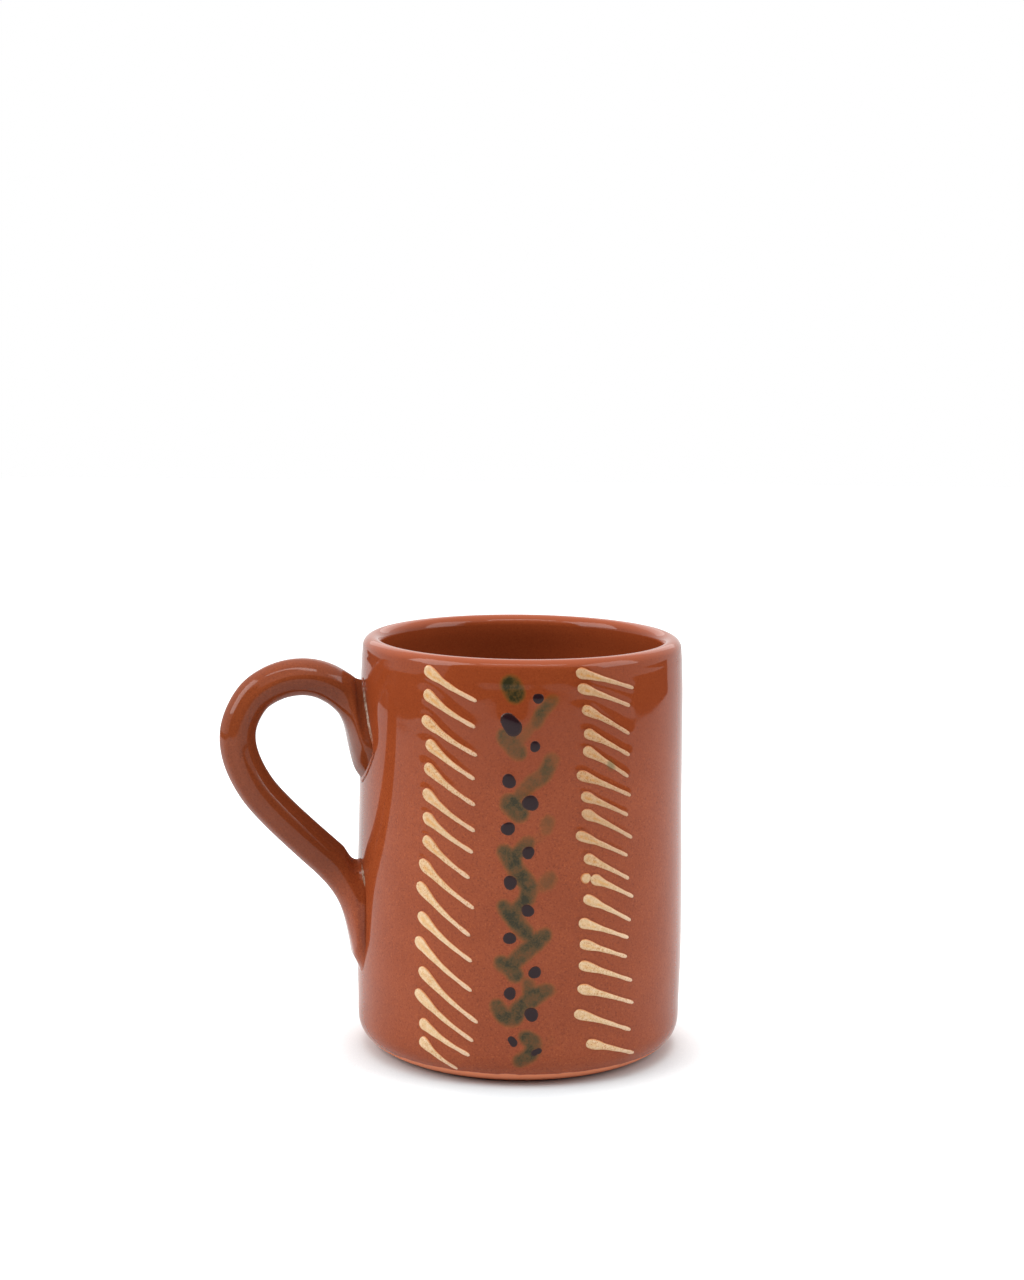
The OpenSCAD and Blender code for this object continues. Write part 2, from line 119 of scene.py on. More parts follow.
# Dots and drops: how near their tips lie, points round them, rings by shares of the radius, and where along
# a stroke's colours a drop lies
ROUND_GAP = 0.1 * MM
DOT_ROUND = 28
DOT_REACHES = np.array([1.1, 1.05, 0.92, 0.7, 0.46, 0.22])
DOT_ALONG = 0.1
# Each is longer one way, in degrees, which turns on from dot to dot, and has faint lobes; uneven dots, by
# their place from the top, have their own length and way
DOT_LONGER = 0.05
DOT_TURN = 40
DOT_LOBES = 0.03
UNEVEN_DOTS = {1: (0.17, 128), 13: (0.2, 125), 14: (0.33, 25)}

# Glaze rises against slip: how high and over what distance beside a stroke, and for a dot by its radius
BEAD_LIFT = 0.14 * MM
BEAD_REACH = 1.2 * MM
DOT_CURVE = 28 * MM
DOT_REACH_SHARE = 0.7
DOT_RISE_SHARE = 0.04
DROP_RISE_SHARE = 0.12
# The rise is followed out to this many times its distance
RISE_FOLLOWED = 6

# Distances inside and outside a mark over which its stain fades, and the power by which stains add up
STAIN_INSIDE = 0.4 * MM
STAIN_OUTSIDE = 1.5 * MM
STAIN_POWER = 3
# Glaze that pools beside slip, with painted shadow on its upper right side: how wide, how much by each
# column and by dots, and how much of that on every side, more toward the right and up, and at least
POOL_WIDTH = 0.4 * MM
POOL_SHADOW_SHARES = {"left_strokes": 0.15, "right_strokes": 0.9}
POOL_BY_DOTS = 0.5
POOL_EVEN = 0.5
POOL_SHADOW_LEAN = np.array([0.35, 0.4])
POOL_LEAST = 0.12

# How much painted shade darkens slip on the upper part of each column, and between which heights
SHADE_SHARES = {"left_strokes": 0.45, "right_strokes": 1.0}
SHADE_FROM, SHADE_TO = 38 * MM, 72 * MM

# How strongly each green mark of the CAD took, from the top
MARK_STRENGTHS = [1.15, 0.65, 0.85, 0.7, 1, 0.5, 0.85, 1, 0.45, 1, 0.9, 0.95, 0.95]
# Green smeared between the marks and dabbed beside them: strength, half width, and then places beside
# the line of dots, in millimetres
SMEARS = [
    (0.3, 0.5, (7.6, 98.6), (6.4, 97.2)),
    (0.85, 0.8, (5.8, 96.4), (4.6, 95)),
    (0.4, 0.9, (4, 93.3), (1.8, 91.2), (0.4, 89.2)),
    (0.5, 1.5, (7.7, 83.4), (7, 82)),
    (0.18, 1.0, (6.5, 66.2), (4.6, 64.1), (2.5, 62.9)),
    (0.4, 0.6, (8.6, 53.6), (8.1, 52.5), (6.2, 51.6), (4.7, 51.4)),
    (0.85, 1.3, (1, 48), (-0.7, 46)),
    (0.95, 1.4, (-4.2, 32.4), (-2, 31), (-0.8, 29.6)),
    (0.8, 1.1, (2.4, 27.2), (3, 24.8)),
    (0.25, 0.8, (7.6, 25), (8.8, 25.3)),
    (0.15, 0.9, (5.8, 10.8), (8.4, 12.5)),
    (0.6, 0.5, (23.5, 81.6), (23.9, 81)),
]

# Camera: it stands off the middle of the mug, turned and raised, and aims past it as the photograph does;
# its lens and the mug's place beside and below the aim are in the photograph's pixels
CAMERA_TURN = math.radians(-13)
CAMERA_RISE = math.radians(13.07)
CAMERA_ROLL = math.radians(0.644)
CAMERA_DISTANCE = 690 * MM
AIM_HEIGHT = 54 * MM
PHOTO_LONG_SIDE = 1280
FOCAL_PIXELS = 2627.8
MUG_RIGHT_PIXELS = 10.2
MUG_BELOW_PIXELS = 199.4
SENSOR = 36

# Studio: a white table, with a dark room below and in front of it that only reflections and light see
TABLE_LEFT, TABLE_RIGHT = -550 * MM, 590 * MM
TABLE_FRONT, TABLE_BACK = -1150 * MM, 1600 * MM
ROOM_DEPTH = 150 * MM
WALL_GAP = 40 * MM
ROOM_REACH = 4000 * MM
# The room's floor ends at these turns from the camera's side, so that it is white behind the mug
ROOM_FROM, ROOM_TO = math.radians(-146), math.radians(125.4)
WALL_WIDE, WALL_HIGH = 1500 * MM, 1150 * MM
TABLE_PALE = 0.7
TABLE_WHITE = 0.73
TABLE_SEEN = 1.2
# Painted shadow on the table where the mug hides it: its colour, reach, power and lean to the camera's side
TABLE_CONTACT_SHADOW = (0.43, 0.47, 0.49, 1)
CONTACT_REACH = 28 * MM
CONTACT_POWER = 1.8
CONTACT_LEAN = math.radians(60)
ROOM_DARK = 0.02
AMBIENT = 0.62


# Curves and waves

def smooth_step(low, high, x):
    """0 below low, 1 above high, and a smooth rise between them."""
    u = np.clip((x - low) / (high - low), 0, 1)
    return u * u * (3 - 2 * u)


def spline(places, values, at):
    """Smooth curve through rows of values at rising places."""
    places, values, at = (np.asarray(x, float) for x in (places, values, at))
    slopes = np.gradient(values, places, axis=0)
    i = np.clip(np.searchsorted(places, at) - 1, 0, len(places) - 2)
    shape = (-1, *[1] * (values.ndim - 1))
    run = (places[i + 1] - places[i]).reshape(shape)
    u = (at - places[i]).reshape(shape) / run
    return (values[i] * (2 * u**3 - 3 * u**2 + 1) + slopes[i] * run * (u**3 - 2 * u**2 + u)
            + values[i + 1] * (3 * u**2 - 2 * u**3) + slopes[i + 1] * run * (u**3 - u**2))


def resampled(rows, count):
    """count rows read evenly off a smooth curve through all of them."""
    return spline(np.arange(len(rows)), rows, np.linspace(0, len(rows) - 1, count))


def resampled_round(rows, count):
    """The same for points that close into a ring, along axis 1."""
    n = rows.shape[1]
    wrapped = np.concatenate([rows[:, -3:], rows, rows[:, :3]], axis=1).swapaxes(0, 1)
    at = np.arange(count) * n / count
    return spline(np.arange(-3, n + 3), wrapped, at).swapaxes(0, 1)


def line_lengths(points):
    """Distance along a line to each of its points."""
    return np.concatenate([[0], np.cumsum(np.linalg.norm(np.diff(points, axis=0), axis=1))])


def waver(a, b, seed):
    """A slow wave of two variables, from -1 to 1, that doesn't repeat within the mug."""
    return (np.sin(1.7 * a + 2.3 * b + seed) + np.sin(2.9 * a - 1.3 * b + 2.1 * seed)
            + np.sin(0.9 * a + 3.7 * b + 3.3 * seed)) / 3


# What the CAD nodes say

def node_points(name):
    """The vertices of a CAD node, as an array."""
    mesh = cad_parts[name].data
    points = np.zeros(len(mesh.vertices) * 3)
    mesh.vertices.foreach_get("co", points)
    return points.reshape(-1, 3)


def welded(name):
    """A CAD node's points with doubles merged, and its triangles."""
    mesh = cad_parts[name].data
    mesh.calc_loop_triangles()
    corners = np.zeros(len(mesh.loop_triangles) * 3, int)
    mesh.loop_triangles.foreach_get("vertices", corners)
    points, merged = np.unique(np.round(node_points(name), WELD_DIGITS), axis=0, return_inverse=True)
    return points, merged.reshape(-1)[corners].reshape(-1, 3)


def neighbours_of(faces, count):
    """For each point, the set of points that it shares an edge with."""
    found = [set() for _ in range(count)]
    for a, b, c in faces.tolist():
        found[a] |= {b, c}
        found[b] |= {a, c}
        found[c] |= {a, b}
    return found


def ring_order(members, near):
    """The points of one ring, in order round it."""
    order = [min(members)]
    while len(order) < len(members):
        order.append(min((near[order[-1]] & members) - set(order)))
    return order


def aligned(ring, last):
    """The ring turned, and reversed if need be, so that its points lie closest to the last ring's."""
    tries = [np.roll(way, k, axis=0) for way in (ring, ring[::-1]) for k in range(len(ring))]
    return min(tries, key=lambda r: ((r - last) ** 2).sum())


def levels_from(start, near):
    """The points that lie one edge further from the start with each step."""
    levels, seen = [{start}], {start}
    while True:
        following = set().union(*[near[p] for p in levels[-1]]) - seen
        if not following:
            return levels
        seen |= following
        levels.append(following)


def is_tip(levels):
    """True where the levels from a point are rings of equal count that close in one last point."""
    return len(levels[-1]) == 1 and len({len(level) for level in levels[1:-1]}) == 1


def skins_of(name):
    """Each closed skin of a CAD node, as (tip, rings, last tip)."""
    points, faces = welded(name)
    near = neighbours_of(faces, len(points))
    unseen = set(range(len(points)))
    skins = []
    while unseen:
        island = set().union(*levels_from(min(unseen), near))
        unseen -= island
        starts = sorted(island, key=lambda p: -len(near[p]))
        levels = next(found for found in (levels_from(p, near) for p in starts) if is_tip(found))
        rings = []
        for level in levels[1:-1]:
            ring = points[ring_order(level, near)]
            rings.append(aligned(ring, rings[-1]) if rings else ring)
        skins.append((points[min(levels[0])], np.array(rings), points[min(levels[-1])]))
    return skins


def one_a_level(rows):
    """Rows of (height, radius) from the lowest up, with those of one height averaged."""
    rows = rows[np.argsort(rows[:, 0])]
    groups = np.split(rows, np.flatnonzero(np.diff(rows[:, 0]) > HAIR) + 1)
    return np.array([group.mean(axis=0) for group in groups])


def where_it_bends(rows):
    """Rows without those that lie on the straight line between their neighbours."""
    before, here, after = rows[:-2], rows[1:-1], rows[2:]
    share = (here[:, 0] - before[:, 0]) / (after[:, 0] - before[:, 0])
    gap = np.abs(before[:, 1] + share * (after[:, 1] - before[:, 1]) - here[:, 1])
    return rows[np.concatenate([[True], gap > STRAIGHT, [True]])]


def body_section():
    """Rows of (height, radius) of the CAD body: its outside, its inside, and the recess under it."""
    points = node_points("body")
    rows = np.stack([points[:, 2], np.hypot(points[:, 0], points[:, 1])], 1)
    apex = rows[rows[:, 0].argmax()]
    foot = rows[rows[:, 0] < HAIR, 1]
    recess, recess_edge = rows[rows[:, 1].argmin()]
    above = rows[rows[:, 0] > recess + HAIR]
    floor = above[above[:, 1].argmin(), 0]
    outer = (rows[:, 1] > foot.max() - HAIR) & ((rows[:, 0] < floor) | (rows[:, 1] > apex[1] - HAIR))
    inner = (rows[:, 0] > floor - HAIR) & (rows[:, 1] < apex[1] + HAIR)
    under = [(recess, 0), (recess, recess_edge), (0, foot.min())]
    outside, inside = (where_it_bends(one_a_level(rows[part])) for part in (outer, inner))
    return outside, inside, np.array(under)


OUTSIDE, INSIDE, UNDER = body_section()
MUG_HEIGHT = OUTSIDE[-1, 0]
BELLY = OUTSIDE[:, 1].max()
FLOOR_LEVEL = INSIDE[0, 0]


def outer_radius(height):
    """The wall's outer radius at a height, smooth between the CAD's rows."""
    height = np.asarray(height, float)
    read = spline(OUTSIDE[:, 0], OUTSIDE[:, 1], np.clip(height.ravel(), 0, MUG_HEIGHT))
    return read.reshape(height.shape)


def wall_detail(height, bearing):
    """How far the thrown wall lies inside the CAD wall: throwing rings, a slow waver and a groove."""
    drift = waver(3 * np.cos(bearing), height / DRIFT_HEIGHT, 1)
    rings = 0.5 + 0.5 * np.sin(FULL_TURN * height / THROWING_PITCH + bearing + drift)
    slow = 0.5 + 0.5 * waver(2 * np.cos(bearing), height / WAVER_HEIGHT + 2 * np.sin(bearing), 4)
    fade = smooth_step(0, FOOT_FADE, height) * smooth_step(MUG_HEIGHT, MUG_HEIGHT - LIP_FADE, height)
    neck = np.exp(-((height - MUG_HEIGHT + NECK_BELOW_LIP) / NECK_WIDTH) ** 2)
    return (THROWING_DEPTH * rings + WALL_WAVER * slow) * fade + NECK_DEPTH * neck


def on_wall(bearing, side, height, off):
    """Points beside a face's line of dots, at heights and distances off the real wall."""
    angle = bearing + np.asarray(side) / BELLY
    radius = outer_radius(height) - wall_detail(height, angle) + off
    return np.stack([radius * np.cos(angle), radius * np.sin(angle), height + 0 * radius], axis=-1)


def off_wall(points):
    """How far points stand off the real wall."""
    angle = np.arctan2(points[..., 1], points[..., 0])
    radius = outer_radius(points[..., 2]) - wall_detail(points[..., 2], angle)
    return np.hypot(points[..., 0], points[..., 1]) - radius


def on_face(points, bearing):
    """Points as (side, height) beside a face's line of dots."""
    angle = np.arctan2(points[..., 1], points[..., 0]) - bearing
    angle = (angle + math.pi) % FULL_TURN - math.pi
    return np.stack([angle * BELLY, points[..., 2]], axis=-1)


# The painted pattern, as lines of (side, height, half width) on each face

def bead_line(skin, bearing):
    """A bead as rows of side, height, half width and height off the wall, from its left end."""
    tip, rings, last = skin
    flat = on_face(rings, bearing)
    across = np.roll(flat, -1, axis=1) - flat
    width = np.linalg.norm(across, axis=2)
    rows, base = np.arange(len(rings)), width.argmax(axis=1)
    crest = (base + 1 + rings.shape[1] // 2) % rings.shape[1]
    middle = flat[rows, base] + across[rows, base] / 2
    line = np.column_stack([middle, width[rows, base] / 2, off_wall(rings)[rows, crest]])
    ends = [np.append(on_face(np.array(p), bearing), [0, 0]) for p in (tip, last)]
    line = np.vstack([ends[0], line, ends[1]])
    return line[::-1] if line[0, 0] > line[-1, 0] else line


def along_line(line, shares):
    """Rows of a line at shares of its length."""
    lengths = line_lengths(line[:, :2])
    return spline(lengths, line, np.asarray(shares) * lengths[-1])


def thinned(line):
    """A stroke's line with a finer tail."""
    lengths = line_lengths(line[:, :2])
    line[:, 2] *= 1 - TAIL_THINNER * smooth_step(TAIL_FROM, 1, lengths / lengths[-1])
    return line


def dot_line(skin, bearing):
    """A dot as side, height and radius."""
    tip, rings, last = skin
    points = np.concatenate([rings.reshape(-1, 3), [tip, last]])
    flat = on_face(points, bearing)
    middle = (flat.min(axis=0) + flat.max(axis=0)) / 2
    return np.array([*middle, (flat[:, 0].max() - flat[:, 0].min()) / 2])


def smear_line(half, places):
    """A smear of green as rows of side, height and half width, from numbers in millimetres."""
    rows = np.column_stack([places, np.full(len(places), half)]) * MM
    return resampled(rows, LINE_ROWS)


def is_round(skin, bearing):
    """True for a dot or a drop, whose two tips lie over each other."""
    gap = on_face(skin[0], bearing) - on_face(skin[2], bearing)
    return np.linalg.norm(gap) < ROUND_GAP


EVENLY = np.linspace(0, 1, LINE_ROWS)


class Face:
    """The pattern on one face of the mug, read off its CAD nodes."""

    def __init__(self, name, bearing):
        self.name = name
        self.bearing = bearing
        self.strokes, self.drops = {}, {}
        for part in ("left_strokes", "right_strokes"):
            skins = skins_of(f"{name}_{part}")
            self.strokes[part] = [thinned(bead_line(s, bearing)) for s in skins if not is_round(s, bearing)]
            self.drops[part] = [dot_line(s, bearing) for s in skins if is_round(s, bearing)]
        self.dots = [dot_line(s, bearing) for s in skins_of(f"{name}_dots")]
        self.dots.sort(key=lambda dot: -dot[1])
        marks = [bead_line(s, bearing) for s in skins_of(f"{name}_brush_marks")]
        marks.sort(key=lambda mark: -mark[:, 1].max())
        self.stains = list(zip(MARK_STRENGTHS, [along_line(mark, EVENLY) for mark in marks]))
        self.stains += [(strength, smear_line(half, places)) for strength, half, *places in SMEARS]

    def slips(self):
        """Each stroke, drop and dot as a line, with how high and how far the glaze rises against it, and
        how much glaze pools and painted shadow falls there."""
        for part, lines in self.strokes.items():
            share = POOL_SHADOW_SHARES[part]
            yield from ((along_line(line, EVENLY), BEAD_LIFT, BEAD_REACH, share) for line in lines)
        for dot in [*self.dots, *(drop for drops in self.drops.values() for drop in drops)]:
            yield dot[None], dot[2] ** 2 / DOT_CURVE, DOT_REACH_SHARE * dot[2], POOL_BY_DOTS


FACES = [Face("front", FRONT_BEARING), Face("back", BACK_BEARING)]


# Making pieces

def facing_out(points, faces):
    """Faces of a closed skin, turned over if they look inward."""
    fans = [(face[0], b, c) for face in faces for b, c in zip(face[1:], face[2:])]
    a, b, c = np.asarray(points)[np.array(fans)].swapaxes(0, 1)
    volume = (a * np.cross(b, c)).sum()
    return faces if volume > 0 else [face[::-1] for face in faces]


def skin_faces(rings, columns, start):
    """Faces of a closed skin: a tip, rings of points and a last tip."""
    last = start + 1 + rings * columns
    made = []
    for j in range(columns):
        after = (j + 1) % columns
        made.append((start, start + 1 + after, start + 1 + j))
        made.append((last, last - columns + j, last - columns + after))
        for i in range(rings - 1):
            here = start + 1 + i * columns
            made.append((here + j, here + after, here + columns + after, here + columns + j))
    return made


def placed(name, data):
    """A new object in the scene, made of this data."""
    made = bpy.data.objects.new(name, data)
    bpy.context.scene.collection.objects.link(made)
    return made


def mesh_object(name, points, faces, material):
    """A new object in the scene, with a mesh of one material."""
    mesh = bpy.data.meshes.new(name)
    mesh.from_pydata(points, [], faces)
    mesh.materials.append(material)
    return placed(name, mesh)


def new_piece(name, skins, replaced, material):
    """A smooth mesh object that rides on the mug and stands for CAD nodes.

    Each skin is a first tip, rings of points, a last tip, and masks, which have a value for the first
    tip, values for the rings, and a value for the last tip."""
    points, faces, masks, count = [], [], {}, 0
    for first, rings, last, shades in skins:
        points.append(np.vstack([first, rings.reshape(-1, 3), last]))
        faces += skin_faces(*rings.shape[:2], count)
        count += len(points[-1])
        for key, (before, values, after) in shades.items():
            values = np.broadcast_to(values, rings.shape[:2]).ravel()
            masks.setdefault(key, []).append(np.concatenate([[before], values, [after]]))
    points = np.vstack(points)
    piece = mesh_object(name, points.tolist(), facing_out(points, faces), material)
    piece.data.shade_smooth()
    for key, values in masks.items():
        made = piece.data.attributes.new(key, "FLOAT", "POINT")
        made.data.foreach_set("value", np.concatenate(values).astype(np.float32))
    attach(piece, "root")
    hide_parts(*replaced)


def even_mask(value):
    """A mask that has one value on a whole skin."""
    return (value, value, value)


# The body

def column_bearings():
    """Bearings of the body's columns, close together across each painted face."""
    bearings = []
    faces = sorted(face.bearing for face in FACES)
    for here, following in zip(faces, [*faces[1:], faces[0] + FULL_TURN]):
        start, stop = here + PATTERN_LEFT / BELLY, here + PATTERN_RIGHT / BELLY
        finish = following + PATTERN_LEFT / BELLY
        fine = round((PATTERN_RIGHT - PATTERN_LEFT) / FINE_STEP)
        coarse = round((finish - stop) * BELLY / COARSE_STEP)
        bearings += np.linspace(start, stop, fine, endpoint=False).tolist()
        bearings += np.linspace(stop, finish, coarse, endpoint=False).tolist()
    return np.array(bearings)


def rounded_corners(points, bevel):
    """An outline with each of its inner corners replaced by a short curve."""
    points = np.asarray(points, float)
    made = [points[0]]
    for before, corner, after in zip(points, points[1:], points[2:]):
        back, ahead = before - corner, after - corner
        start = corner + back * min(BEVEL_SHARE, bevel / np.linalg.norm(back))
        stop = corner + ahead * min(BEVEL_SHARE, bevel / np.linalg.norm(ahead))
        for u in np.linspace(0, 1, BEVEL_STEPS + 1):
            made.append(start * (1 - u) ** 2 + 2 * corner * u * (1 - u) + stop * u * u)
    return np.array([*made, points[-1]])


def turned(radius, pitch, depth):
    """The spiral grooves that fingers and tools leave on a turning floor."""
    return depth * (0.5 - 0.5 * np.cos(FULL_TURN * radius / pitch)) * smooth_step(0, pitch, radius)


def under_outline(shell_start):
    """The recess under the mug, with its turning marks, and the ring that it stands on."""
    centre, edge, ring = UNDER
    radius = np.arange(0, edge[1] - 2 * FOOT_BEVEL, UNDER_STEP)
    recess = np.column_stack([centre[0] + turned(radius, UNDER_PITCH, UNDER_DEPTH), radius])
    foot = rounded_corners([recess[-1], edge, ring, OUTSIDE[0], shell_start], FOOT_BEVEL)
    return np.concatenate([recess[:-1], foot[:-1]])


def body_outline():
    """The mug's section as (height, radius) from under its middle, up the wall and down to the floor's
    middle, with 1 for each row that the outer wall's detail shapes."""
    corner = INSIDE[0, 1]
    radius = np.arange(corner - INSIDE_STEP, 0, -INSIDE_STEP)
    floor = np.column_stack([FLOOR_LEVEL - turned(radius, FLOOR_PITCH, FLOOR_DEPTH), radius])
    shell = np.concatenate([OUTSIDE, INSIDE[::-1][1:]])
    lengths = line_lengths(shell)
    apex = lengths[len(OUTSIDE) - 1]
    top = apex - (MUG_HEIGHT - PATTERN_TOP)
    lip_end = apex + LIP_INSIDE
    at = np.concatenate([
        np.arange(2 * FOOT_BEVEL, top, FINE_STEP), np.arange(top, lip_end, LIP_STEP),
        np.arange(lip_end, lengths[-1], INSIDE_STEP)])
    shell = spline(lengths, shell, at)
    under = under_outline(shell[0])
    outline = np.concatenate([under, shell, floor, [(FLOOR_LEVEL, 0)]])
    outer = np.concatenate([np.zeros(len(under)), at < apex, np.zeros(len(floor) + 1)])
    return outline, outer


def nearest(places, line):
    """For each place on a face: distance outside a tapering line, and the direction away from it."""
    away = places[:, None, :] - line[None, :, :2]
    gap = np.linalg.norm(away, axis=2) - line[None, :, 2]
    rows, best = np.arange(len(places)), gap.argmin(axis=1)
    away = away[rows, best]
    return gap[rows, best], away / np.maximum(np.linalg.norm(away, axis=1), HAIR)[:, None]


def near_line(places, line, reach):
    """The places on a face that are close to a line, with their distances and directions from it."""
    low = line[:, :2].min(axis=0) - line[:, 2].max() - reach
    high = line[:, :2].max(axis=0) + line[:, 2].max() + reach
    close = np.flatnonzero(((places > low) & (places < high)).all(axis=1))
    return (close, *nearest(places[close], line))


def stained(places, face):
    """How green a face is at each place, from 0 to a little over 1."""
    total = np.zeros(len(places))
    for strength, line in face.stains:
        close, gap, _ = near_line(places, line, STAIN_OUTSIDE)
        total[close] += (strength * (1 - smooth_step(-STAIN_INSIDE, STAIN_OUTSIDE, gap))) ** STAIN_POWER
    return total ** (1 / STAIN_POWER)


def painted(points):
    """What the glaze does on the wall at each point: green stain, depth of colour where it pools
    beside slip with painted shadow on it, and how high it rises against slip."""
    stain, pool, lift = (np.zeros(len(points)) for _ in range(3))
    for face in FACES:
        places = on_face(points, face.bearing)
        stain += stained(places, face)
        for line, high, reach, share in face.slips():
            close, gap, away = near_line(places, line, RISE_FOLLOWED * reach)
            gap = np.maximum(gap, 0)
            lift[close] = np.maximum(lift[close], high * np.exp(-gap / reach))
            # painted shadow: the pooled colour leans to the right and up of each slip
            lean = share * np.clip(POOL_EVEN + away @ POOL_SHADOW_LEAN, POOL_LEAST, 1)
            pool[close] = np.maximum(pool[close], lean * np.exp(-gap**2 / POOL_WIDTH**2))
    return stain, pool, lift


def lowered(points, down):
    """Points moved toward the mug's axis."""
    angle = np.arctan2(points[..., 1], points[..., 0])
    return points - np.stack([down * np.cos(angle), down * np.sin(angle), 0 * down], axis=-1)


def make_body(material):
    """The thrown body with its lip, floor and foot, and the masks of what is painted on it."""
    outline, outer = body_outline()
    bearings = column_bearings()
    height = outline[:, :1] + 0 * bearings
    radius = outline[:, 1:] - outer[:, None] * wall_detail(height, bearings)
    points = np.stack([radius * np.cos(bearings), radius * np.sin(bearings), height], axis=-1)
    rings = points[1:-1]
    outside = outer[1:-1] > 0
    stain, pool, lift = (np.zeros(rings.shape[:2]) for _ in range(3))
    for whole, values in zip((stain, pool, lift), painted(rings[outside].reshape(-1, 3))):
        whole[outside] = values.reshape(-1, len(bearings))
    masks = {"stain": (0, stain, 0), "pool": (0, pool, 0)}
    skin = (points[0, 0], lowered(rings, -lift), points[-1, 0], masks)
    replaced = ["body", "front_brush_marks", "back_brush_marks"]
    new_piece("mug_body", [skin], replaced, material)


# The handle and the slip that glues it on

def lofted(skin, around, along):
    """A skin with finer rings, along it and round it."""
    tip, rings, last = skin
    finer = resampled(rings, (len(rings) - 1) * along + 1)
    return tip, resampled_round(finer, around), last


def settled(points, gap):
    """Points near the wall drawn down to it, so that what stood gap off it is sunk in it; the wiped end
    is drawn down over a shorter distance and stands out more."""
    off = off_wall(points)
    wiped = smooth_step(WIPED_TO, WIPED_FROM, points[..., 2])
    reach = SEAM_REACH + (WIPED_REACH - SEAM_REACH) * wiped
    down = (gap + SEAM_DEPTH) * (1 - smooth_step(gap, gap + reach, off))
    return lowered(points, down - WIPED_LIFT * wiped * smooth_step(gap, gap + WIPED_REACH, off))


def ring_normals(rings):
    """Outward directions of points on rings, from their neighbours."""
    round_way = np.roll(rings, -1, axis=1) - np.roll(rings, 1, axis=1)
    normals = np.cross(round_way, np.gradient(rings, axis=0))
    normals /= np.linalg.norm(normals, axis=2, keepdims=True)
    outward = rings - rings.mean(axis=1, keepdims=True)
    return normals * np.sign((normals * outward).sum(axis=2).mean())


def make_handle(material):
    """The pulled strap, with the soft ridges that the potter's fingers leave along it."""
    tip, rings, last = skins_of("handle")[0]
    if tip[2] < last[2]:
        tip, rings, last = last, rings[::-1], tip
    tip, rings, last = lofted((tip, rings, last), HANDLE_ROUND, HANDLE_ALONG)
    turn = np.arange(HANDLE_ROUND) / HANDLE_ROUND * FULL_TURN
    along = np.linspace(0, 1, len(rings))[:, None]
    drift = 0.5 * waver(along * 7, along * 3, 2)
    waves = [share * np.sin(times * turn + bend * drift + start) for share, times, bend, start in RIDGES]
    ridges = sum(waves) - 1
    free = smooth_step(*RIDGES_IN, along) * (1 - smooth_step(*RIDGES_OUT, along))
    gap = off_wall(tip)
    rings = settled(rings + ring_normals(rings) * (RIDGE_HEIGHT * ridges * free)[..., None], gap)
    masks = {"along": (0, along, 1)}
    skin = (settled(tip, gap), rings, settled(last, gap), masks)
    new_piece("mug_handle", [skin], ["handle"], material)


def make_joint_slip(name, material):
    """The thin slip squeezed out round a handle end, sunk in the wall where it doesn't show pale."""
    tip, rings, last = lofted(skins_of(name)[0], HANDLE_ROUND, SLIP_ALONG)
    low, high = PALE_SLIP[name]
    height = rings[..., 2]
    pale = smooth_step(low, low + PALE_FADE, height) * smooth_step(high, high - PALE_FADE, height)
    sunk = np.float64(JOINT_SUNK[name])
    tip, last = (lowered(part, sunk) for part in (tip, last))
    rings = lowered(rings, sunk + (PALE_SUNK - sunk) * pale)
    skin = (tip, rings, last, {"pale": (0, pale, 0)})
    new_piece(f"mug_{name}", [skin], [name], material)


# Strokes, drops and dots

def bead_skin(line, bearing, number):
    """A trailed bead: rows across it, from skirt to skirt over a rounded crest, and back under it."""
    share = 0.5 - 0.5 * np.cos(np.linspace(0, math.pi, BEAD_ROWS))
    line = along_line(line, share)
    heading = np.gradient(line[:, :2], axis=0)
    heading /= np.linalg.norm(heading, axis=1, keepdims=True)
    square = np.stack([-heading[:, 1], heading[:, 0]], axis=1)
    swell = 1 + BEAD_SWELL * waver(share * 9, share * 4, number)
    turn = np.linspace(0, math.pi, BEAD_ROUND)
    across = -np.cos(turn)
    crest = np.sin(turn) ** CREST_POWER
    half, rise = (line[:, 2] * swell)[:, None], (line[:, 3] * BEAD_FLATNESS)[:, None]
    place = line[:, None, :2] + square[:, None, :] * (half * across)[..., None]
    top = on_wall(bearing, place[..., 0], place[..., 1], BEAD_LIFT + rise * crest - SUNK * (1 - crest))
    below = place[:, -2:0:-1]
    under = on_wall(bearing, below[..., 0], below[..., 1], -UNDER_SUNK)
    rings = np.concatenate([top, under], axis=1)[1:-1]
    masks = {
        "along": (0, share[1:-1, None], 1), "number": even_mask(number),
        "across": (0, np.concatenate([across, -across[1:-1]]), 0)}
    return rings[0].mean(axis=0), rings, rings[-1].mean(axis=0), masks


def dot_skin(dot, bearing, rise_share, number):
    """A dot that stands out of the glaze round it, a little out of round."""
    side, height, radius = dot
    longer, way = UNEVEN_DOTS.get(number, (DOT_LONGER, DOT_TURN * number))
    turn = np.arange(DOT_ROUND) / DOT_ROUND * FULL_TURN
    stretch = longer * np.cos(2 * (turn - math.radians(way)))
    outline = radius * (1 + stretch + DOT_LOBES * np.sin(3 * turn + number))
    rise = rise_share * radius
    top = radius**2 / DOT_CURVE + rise
    off = np.array([-SUNK, *(top - rise * DOT_REACHES[1:] ** 2)])[:, None]
    rings = on_wall(bearing, side + np.outer(DOT_REACHES, outline * np.cos(turn)),
                    height + np.outer(DOT_REACHES, outline * np.sin(turn)), off)
    masks = {
        "along": even_mask(DOT_ALONG), "number": even_mask(number),
        "across": (1, DOT_REACHES[:, None], 0)}
    under, crest = (on_wall(bearing, side, height, stand) for stand in (-UNDER_SUNK, top))
    return under, rings, crest, masks


